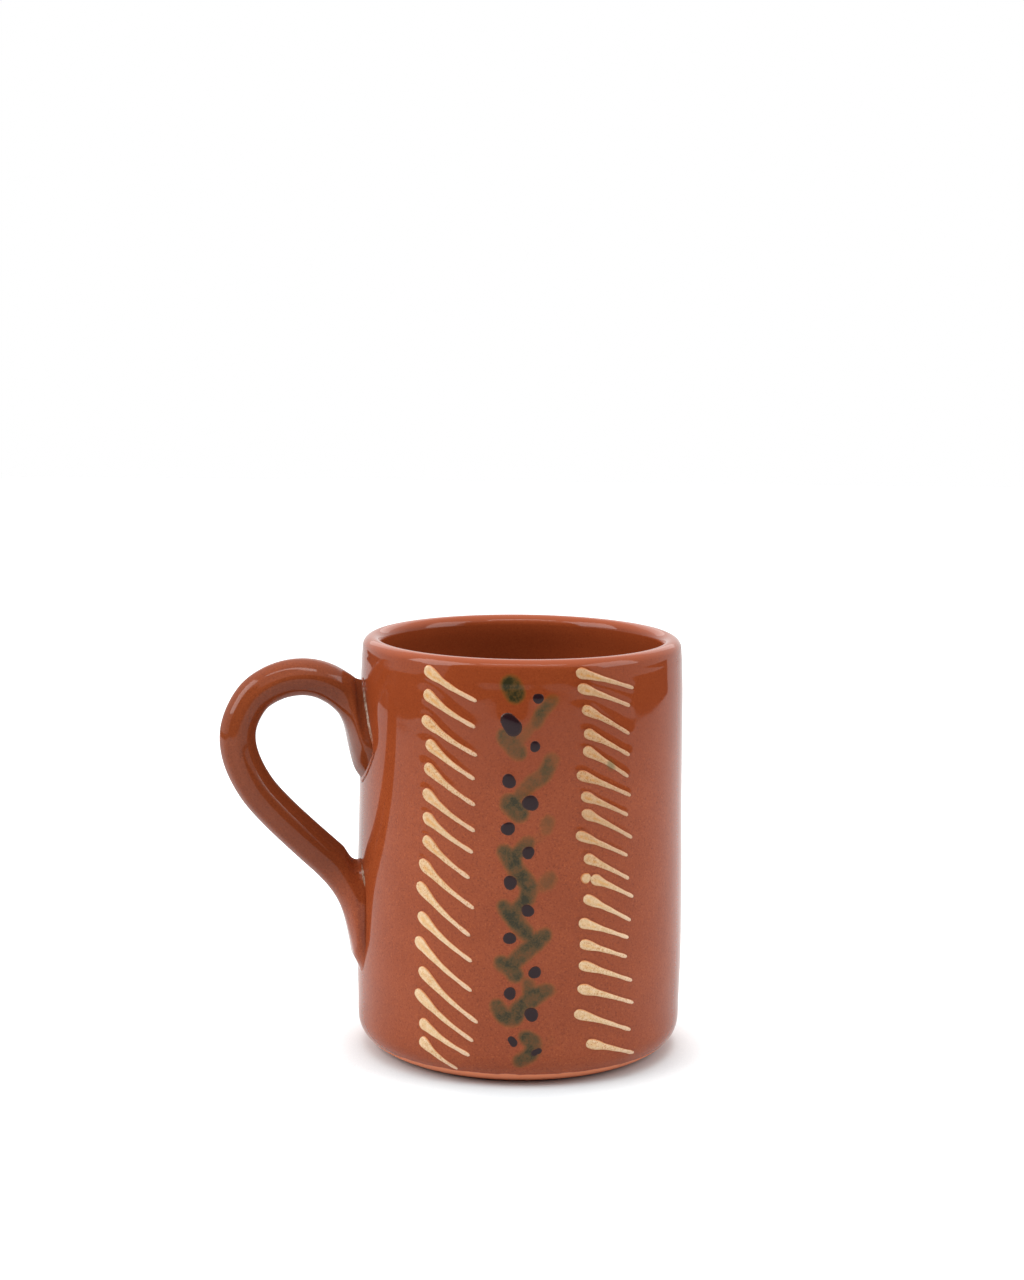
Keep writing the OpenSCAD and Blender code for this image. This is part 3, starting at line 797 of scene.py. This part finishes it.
def make_strokes(face, part, material):
    """One column of trailed strokes as one piece, with a drop that fell beside it."""
    skins = [bead_skin(line, face.bearing, k) for k, line in enumerate(face.strokes[part])]
    skins += [dot_skin(drop, face.bearing, DROP_RISE_SHARE, k) for k, drop in enumerate(face.drops[part])]
    for first, rings, last, masks in skins:
        stain = stained(on_face(rings.reshape(-1, 3), face.bearing), face).reshape(rings.shape[:2])
        masks["stain"] = (stain[0].mean(), stain, stain[-1].mean())
        masks["shade"] = even_mask(SHADE_SHARES[part])
    name = f"{face.name}_{part}"
    new_piece(f"{name}_glazed", skins, [name], material)


def make_dots(face, material):
    """The raised dark dots of one face as one piece."""
    skins = [dot_skin(dot, face.bearing, DOT_RISE_SHARE, k) for k, dot in enumerate(face.dots)]
    name = f"{face.name}_dots"
    new_piece(f"{name}_glazed", skins, [name], material)


# Materials

def linear(red, green, blue):
    """A colour given as it shows on screen, 0 to 255, as a shader takes it."""
    parts = [c / 255 for c in (red, green, blue)]
    return (*[p / 12.92 if p < 0.04045 else ((p + 0.055) / 1.055) ** 2.4 for p in parts], 1)


# Sockets of the Mix node for colours: its share, the two colours and what it gives
MIX_SHARE, FIRST_COLOUR, SECOND_COLOUR, MIXED_COLOUR = 0, 6, 7, 2
NOISE_ROUGH = 0.55


class Shader:
    """The nodes of a new material or world, made and linked in one call each."""

    def __init__(self, name, world=False):
        self.owner = (bpy.data.worlds if world else bpy.data.materials).new(name)
        self.owner.use_nodes = True
        self.tree = self.owner.node_tree
        self.tree.nodes.clear()
        self.place = self.node("ShaderNodeTexCoord").outputs["Object"]

    def node(self, kind, inputs=(), **settings):
        """A new node with its settings, and values or other nodes' outputs on its inputs."""
        made = self.tree.nodes.new(kind)
        for key, value in settings.items():
            setattr(made, key, value)
        for key, value in dict(inputs).items():
            if isinstance(value, bpy.types.NodeSocket):
                self.tree.links.new(value, made.inputs[key])
            else:
                made.inputs[key].default_value = value
        return made

    def attribute(self, name):
        """A mask that the piece's points carry."""
        return self.node("ShaderNodeAttribute", attribute_name=name).outputs["Fac"]

    def height(self):
        """Height above the table."""
        return self.node("ShaderNodeSeparateXYZ", {0: self.place}).outputs["Z"]

    def math(self, operation, *values):
        """What a calculation gives for one or more values."""
        return self.node("ShaderNodeMath", dict(enumerate(values)), operation=operation).outputs[0]

    def product(self, value, *factors):
        """A value multiplied by others."""
        for factor in factors:
            value = self.math("MULTIPLY", value, factor)
        return value

    def noise(self, size, detail):
        """Noise whose lumps are about size metres across, from 0 to 1."""
        inputs = {"Vector": self.place, "Scale": 1 / size, "Detail": detail, "Roughness": NOISE_ROUGH}
        return self.node("ShaderNodeTexNoise", inputs).outputs["Fac"]

    def spread(self, value, low, high, to_low=0.0, to_high=1.0):
        """A value mapped from low-high to another range, clamped and smooth."""
        inputs = {"Value": value, "From Min": low, "From Max": high, "To Min": to_low, "To Max": to_high}
        return self.node("ShaderNodeMapRange", inputs, interpolation_type="SMOOTHSTEP").outputs["Result"]

    def varied(self, size, low, high):
        """A value that wanders between low and high, in lumps of a size."""
        return self.spread(self.noise(size, 2), 0.3, 0.7, low, high)

    def blend(self, share, first, second, how="MIX"):
        """The first colour with a share of the second on it."""
        inputs = {MIX_SHARE: share, FIRST_COLOUR: first, SECOND_COLOUR: second}
        return self.node("ShaderNodeMix", inputs, data_type="RGBA", blend_type=how).outputs[MIXED_COLOUR]

    def between(self, share, first, second):
        """The number at a share of the way from the first to the second."""
        inputs = {"Value": share, "To Min": first, "To Max": second}
        return self.node("ShaderNodeMapRange", inputs).outputs["Result"]

    def bump(self, height, distance, normal=None):
        """The surface's direction with relief on it, over relief that is already there."""
        inputs = {"Height": height, "Distance": distance, "Strength": 1.0}
        if normal is not None:
            inputs["Normal"] = normal
        return self.node("ShaderNodeBump", inputs).outputs["Normal"]

    def finished(self, kind, inputs):
        """The material, with a shader of this kind on its surface."""
        shader = self.node(kind, inputs)
        self.node("ShaderNodeOutputMaterial", {"Surface": shader.outputs[0]})
        return self.owner

    def glazed(self, colour, rough):
        """The finished material of a piece under clear glaze."""
        return self.finished("ShaderNodeBsdfPrincipled", {
            "Base Color": colour, "Roughness": rough, "IOR": GLAZE_IOR, "Normal": orange_peel(self)})


# Glaze: its index, and its roughness, which varies between two values on the body and on the handle
GLAZE_IOR = 1.31
BODY_GLOSS = (0.035, 0.06)
HANDLE_GLOSS = (0.05, 0.09)
JOINT_ROUGH = 0.2
CREAM_ROUGH = 0.12
DARK_ROUGH = 0.05
BARE_ROUGH = 0.85

# Sizes of the lumps in clay, orange peel with its depths, gloss, brushed green, and slip
CLOUD, FINE_CLOUD, GRAIN = 11 * MM, 0.6 * MM, 0.42 * MM
PEEL, PEEL_DEPTH = 2.2 * MM, 0.0025 * MM
FINE_PEEL, FINE_PEEL_DEPTH = 0.4 * MM, 0.0006 * MM
BODY_GLOSS_CLOUD, HANDLE_GLOSS_CLOUD = 6 * MM, 5 * MM
BRUSHED_GRAIN, BRUSHED_CLOUD = 0.45 * MM, 2.6 * MM
JOINT_CLOUD = 1.2 * MM
CREAM_CLOUD, CORE_CLOUD, CREAM_GRAIN = 0.9 * MM, 1.3 * MM, 0.36 * MM

# Heights between which the wall is darkened as painted shade, a stroke's core deepens, the lip's colour
# comes, and glaze begins, with how much and over what length its end wavers
UPPER_SHADE_FROM, UPPER_SHADE_TO = 68 * MM, 96 * MM
CORE_FROM, CORE_TO = 8 * MM, 70 * MM
LIP_FROM, LIP_TO = MUG_HEIGHT - 2.2 * MM, MUG_HEIGHT - 0.3 * MM
BARE_FROM, BARE_TO = 3.5 * MM, 3.9 * MM
BARE_WAVER, BARE_WAVE = 1.0 * MM, 5 * MM

CLAY = linear(140, 65, 34)
CLAY_LIGHT = linear(145, 69, 37)
CLAY_DARK = linear(126, 55, 27)
CLAY_SPECK = linear(92, 37, 16)
CLAY_WARM = linear(172, 87, 46)
# Painted shade on the handle
CLAY_HANDLE_SHADE = linear(94, 46, 25)
# Bare clay, painted lighter to stand in for light on the shaded foot
BARE_CLAY_PAINTED_LIGHT = linear(216, 134, 98)
LIP_CLAY = linear(142, 69, 40)
OCHRE = linear(124, 76, 30)
GREEN = linear(70, 58, 31)
GREEN_DARK = linear(42, 40, 23)
# Pooled glaze, and painted shadow beside slip
POOLED_AND_SHADOW = linear(104, 44, 18)
CREAM = linear(206, 175, 134)
CREAM_PALE = linear(218, 190, 154)
CREAM_CORE = linear(212, 158, 82)
CREAM_EDGE = linear(198, 122, 66)
CREAM_TAIL = linear(216, 185, 158)
CREAM_SHADE = (0.76, 0.66, 0.6, 1)
CREAM_SPECK = linear(178, 112, 60)
CREAM_STAINED = linear(120, 108, 76)
DARK_SLIP = linear(38, 21, 25)
DARK_SLIP_EDGE = linear(58, 34, 28)
JOINT_PALE = linear(176, 150, 132)
JOINT_DARK = linear(128, 82, 58)


def glazed_clay(shader):
    """Colour of the red clay under its glaze: faintly clouded, and finely speckled."""
    clouds = shader.noise(CLOUD, 3)
    fine = shader.noise(FINE_CLOUD, 2)
    grain = shader.noise(GRAIN, 1)
    colour = shader.blend(shader.spread(clouds, 0.35, 0.65), CLAY, CLAY_LIGHT)
    colour = shader.blend(shader.spread(fine, 0.42, 0.7, 0, 0.5), colour, CLAY_DARK)
    colour = shader.blend(shader.spread(grain, 0.42, 0.25, 0, 0.5), colour, CLAY_WARM)
    return shader.blend(shader.spread(grain, 0.55, 0.75, 0, 0.5), colour, CLAY_SPECK)


def orange_peel(shader):
    """The glaze's skin: almost a mirror, with a faint orange peel."""
    peel = shader.bump(shader.noise(PEEL, 2), PEEL_DEPTH)
    return shader.bump(shader.noise(FINE_PEEL, 1), FINE_PEEL_DEPTH, peel)


def body_material():
    """Red clay under glaze, with painted shade high up, the lip, the green marks, pooled glaze with painted
    shadow beside slip, and painted light on the bare foot.
    """
    shader = Shader("glazed_red_clay")
    height = shader.height()
    blend, spread = shader.blend, shader.spread
    # painted shade: the upper wall is blended darker between these heights
    colour = blend(spread(height, UPPER_SHADE_FROM, UPPER_SHADE_TO, 0, 0.6), glazed_clay(shader), CLAY_DARK)
    colour = blend(spread(height, LIP_FROM, LIP_TO), colour, LIP_CLAY)
    grain = shader.varied(BRUSHED_GRAIN, 0.86, 1.1)
    clouds = shader.varied(BRUSHED_CLOUD, 0.72, 1.12)
    stain = shader.product(shader.attribute("stain"), grain, clouds)
    colour = blend(spread(stain, 0.02, 0.4, 0, 0.45), colour, OCHRE)
    colour = blend(spread(stain, 0.1, 0.95, 0, 0.95), colour, GREEN)
    colour = blend(spread(stain, 0.82, 1.12, 0, 0.9), colour, GREEN_DARK)
    # pooled glaze and painted shadow beside slip
    colour = blend(shader.product(shader.attribute("pool"), 0.5), colour, POOLED_AND_SHADOW)
    uneven = shader.math("MULTIPLY_ADD", shader.noise(BARE_WAVE, 3), BARE_WAVER, height)
    bare = spread(uneven, BARE_FROM, BARE_TO, 1, 0)
    # the bare foot, its clay painted lighter as painted light
    colour = blend(bare, colour, BARE_CLAY_PAINTED_LIGHT)
    gloss = shader.varied(BODY_GLOSS_CLOUD, *BODY_GLOSS)
    return shader.glazed(colour, shader.between(bare, gloss, BARE_ROUGH))


def handle_material():
    """The same clay darkened as painted shade, down to where the handle is wiped on the wall."""
    shader = Shader("glazed_handle_clay")
    darker = shader.spread(shader.attribute("along"), 0.8, 0.93, 0.5, 0)
    colour = shader.blend(darker, glazed_clay(shader), CLAY_HANDLE_SHADE)
    return shader.glazed(colour, shader.varied(HANDLE_GLOSS_CLOUD, *HANDLE_GLOSS))


def joint_material():
    """Clay, with pale slip where it was squeezed out."""
    shader = Shader("pale_joint_slip")
    slip = shader.blend(shader.spread(shader.noise(JOINT_CLOUD, 3), 0.35, 0.65), JOINT_PALE, JOINT_DARK)
    return shader.glazed(shader.blend(shader.attribute("pale"), glazed_clay(shader), slip), JOINT_ROUGH)


def cream_material():
    """Cream slip with a yellow core, a paler tail, brown edges and specks, with painted shade high up on
    the mug, and darker where green was brushed over it."""
    shader = Shader("cream_slip")
    along, across, number = (shader.attribute(name) for name in ("along", "across", "number"))
    height = shader.height()
    blend, spread, noise, product = shader.blend, shader.spread, shader.noise, shader.product
    mottle = noise(CREAM_CLOUD, 3)
    colour = blend(spread(mottle, 0.35, 0.65), CREAM, CREAM_PALE)
    colour = blend(spread(along, 0.45, 0.95, 0, 0.7), colour, CREAM_TAIL)
    core = product(
        spread(shader.math("ABSOLUTE", shader.math("ADD", across, 0.12)), 0.05, 0.5, 1, 0),
        spread(along, 0.3, 0.5, 1, 0), spread(along, 0.03, 0.1),
        spread(height, CORE_FROM, CORE_TO, 0.35, 1.1),
        spread(noise(CORE_CLOUD, 3), 0.35, 0.6, 0.05, 0.7))
    colour = blend(core, colour, CREAM_CORE)
    edge = shader.math("ADD", shader.math("ABSOLUTE", across), product(across, 0.05))
    colour = blend(spread(edge, 0.72, 0.97, 0, 0.9), colour, CREAM_EDGE)
    share = spread(shader.math("FRACT", product(number, 0.37)), 0, 1, 0.35, 0.85)
    specks = product(spread(noise(CREAM_GRAIN, 1), 0.5, 0.72), share)
    colour = blend(specks, colour, CREAM_SPECK)
    # painted shade: slip is multiplied darker high up, by each column's share
    shade = product(shader.attribute("shade"), spread(height, SHADE_FROM, SHADE_TO))
    colour = blend(shade, colour, CREAM_SHADE, "MULTIPLY")
    colour = blend(spread(shader.attribute("stain"), 0.05, 0.6, 0, 0.8), colour, CREAM_STAINED)
    return shader.glazed(colour, CREAM_ROUGH)


def dark_material():
    """Blue-black slip with a browner edge."""
    shader = Shader("dark_slip")
    edge = shader.attribute("across")
    colour = shader.blend(shader.spread(edge, 0.8, 1.0, 0, 0.7), DARK_SLIP, DARK_SLIP_EDGE)
    return shader.glazed(colour, DARK_ROUGH)


# Studio

def seen_rays(shader):
    """1 for rays that see the studio as the camera does, also in glaze, and 0 for its light."""
    rays = shader.node("ShaderNodeLightPath").outputs
    glossy = shader.math("MAXIMUM", rays["Is Camera Ray"], rays["Is Glossy Ray"])
    return shader.math("MAXIMUM", glossy, rays["Is Transmission Ray"])


def grey(level):
    """A grey of this level, as a shader takes it."""
    return (level, level, level, 1)


def table_material():
    """Matt white, brightest for the camera, so that only the shadow at the mug's foot shows on it, with a
    painted shadow there that is a little cool, against the red that the clay throws on it. The painted
    shadow leans to the camera's side."""
    shader = Shader("studio_table")
    camera = shader.node("ShaderNodeLightPath").outputs["Is Camera Ray"]
    away = math.sin(CONTACT_LEAN)
    toward_mug = (-away * math.sin(CAMERA_TURN), away * math.cos(CAMERA_TURN), math.cos(CONTACT_LEAN))
    normal = shader.node("ShaderNodeCombineXYZ", dict(enumerate(toward_mug))).outputs[0]
    inputs = {"Distance": CONTACT_REACH, "Normal": normal}
    # painted shadow: the table's colour darkens where the mug hides it
    open_share = shader.node("ShaderNodeAmbientOcclusion", inputs, samples=8).outputs["AO"]
    open_share = shader.math("POWER", open_share, CONTACT_POWER)
    colour = shader.blend(seen_rays(shader), grey(TABLE_PALE), grey(TABLE_WHITE))
    colour = shader.blend(camera, colour, shader.blend(open_share, TABLE_CONTACT_SHADOW, grey(TABLE_SEEN)))
    return shader.finished("ShaderNodeBsdfDiffuse", {"Color": colour})


def room_material():
    """Matt and almost black."""
    return Shader("studio_room").finished(
        "ShaderNodeBsdfPrincipled", {"Base Color": grey(ROOM_DARK), "Roughness": 1.0})


def stage_card(name, corners, material):
    """A flat card of the studio, laid out as the camera faces it."""
    card = mesh_object(name, corners, [range(len(corners))], material)
    card.rotation_euler = (0, 0, CAMERA_TURN)
    return card


def make_stage():
    """A white table, and a dark room below and in front of it that the camera doesn't see."""
    left, right, front, back = TABLE_LEFT, TABLE_RIGHT, TABLE_FRONT, TABLE_BACK
    table = [(left, front, 0), (right, front, 0), (right, back, 0), (left, back, 0)]
    stage_card("table", table, table_material())
    dark = room_material()
    far, low = ROOM_REACH, -ROOM_DEPTH
    ends = [(far * math.sin(turn), -far * math.cos(turn), low) for turn in (ROOM_TO, ROOM_FROM)]
    room = [(-far, -far, low), (far, -far, low), ends[0], (0, 0, low), ends[1]]
    near = front - WALL_GAP
    wall = [(-WALL_WIDE, near, low), (WALL_WIDE, near, low),
            (WALL_WIDE, near, WALL_HIGH), (-WALL_WIDE, near, WALL_HIGH)]
    for name, corners in (("room_floor", room), ("room_wall", wall)):
        stage_card(name, corners, dark).visible_camera = False


def make_world():
    """White to be seen, also in glaze, and an even light."""
    world = Shader("studio", world=True)
    bpy.context.scene.world = world.owner
    level = world.math("MAXIMUM", seen_rays(world), AMBIENT)
    light = world.node("ShaderNodeBackground", {"Color": grey(1), "Strength": level})
    world.node("ShaderNodeOutputWorld", {"Surface": light.outputs[0]})


def direction(turn, rise):
    """The way out from the mug to a place turned from its front and raised above the level."""
    level = math.cos(rise)
    return Vector((math.sin(turn) * level, -math.cos(turn) * level, math.sin(rise)))


def make_light(name, turn, rise, distance, wide, high, watts):
    """A soft box aimed at the mug, turned from the camera's side and raised in degrees; sizes in metres."""
    data = bpy.data.lights.new(name, "AREA")
    data.shape = "RECTANGLE"
    data.size, data.size_y = wide, high
    data.energy = watts
    lamp = placed(name, data)
    back = direction(CAMERA_TURN + math.radians(turn), math.radians(rise))
    lamp.location = Vector((0, 0, AIM_HEIGHT)) + back * distance
    lamp.rotation_euler = back.to_track_quat("Z", "Y").to_euler()
    return lamp


def make_camera():
    """The photograph's camera, with the mug low in the frame and a slight roll."""
    back = direction(CAMERA_TURN, CAMERA_RISE)
    right = Vector((math.cos(CAMERA_TURN), math.sin(CAMERA_TURN), 0))
    ahead = -back
    up = right.cross(ahead)
    aside, above = MUG_RIGHT_PIXELS / FOCAL_PIXELS, MUG_BELOW_PIXELS / FOCAL_PIXELS
    ahead = (ahead - right * aside + up * above).normalized()
    right = ahead.cross(up).normalized()
    up = right.cross(ahead)
    turned_right = right * math.cos(CAMERA_ROLL) + up * math.sin(CAMERA_ROLL)
    turned_up = up * math.cos(CAMERA_ROLL) - right * math.sin(CAMERA_ROLL)
    data = bpy.data.cameras.new("camera")
    data.sensor_width = SENSOR
    data.lens = SENSOR * FOCAL_PIXELS / PHOTO_LONG_SIDE
    data.clip_start, data.clip_end = 0.01, 20
    camera = placed("camera", data)
    place = Vector((0, 0, AIM_HEIGHT)) + back * CAMERA_DISTANCE
    axes = Matrix((turned_right, turned_up, -ahead)).transposed().to_4x4()
    camera.matrix_world = Matrix.Translation(place) @ axes
    bpy.context.scene.camera = camera


make_camera()
make_stage()
make_world()
make_light("key", turn=-70, rise=35, distance=1.3, wide=0.9, high=0.9, watts=13.5)
make_light("fill", turn=75, rise=30, distance=1.4, wide=0.8, high=1.0, watts=9.5)
make_light("strip", turn=0, rise=63, distance=1.1, wide=0.85, high=0.13, watts=2.5)
make_light("back", turn=180, rise=30, distance=1.5, wide=1.6, high=0.7, watts=2.5)
top = make_light("top", turn=0, rise=88, distance=1.2, wide=0.8, high=0.8, watts=8)
top.visible_glossy = False

make_body(body_material())
make_handle(handle_material())
slip = joint_material()
for joint in JOINT_SUNK:
    make_joint_slip(joint, slip)
cream = cream_material()
dark = dark_material()
for face in FACES:
    for part in face.strokes:
        make_strokes(face, part, cream)
    make_dots(face, dark)

bpy.context.scene.view_settings.view_transform = "Standard"
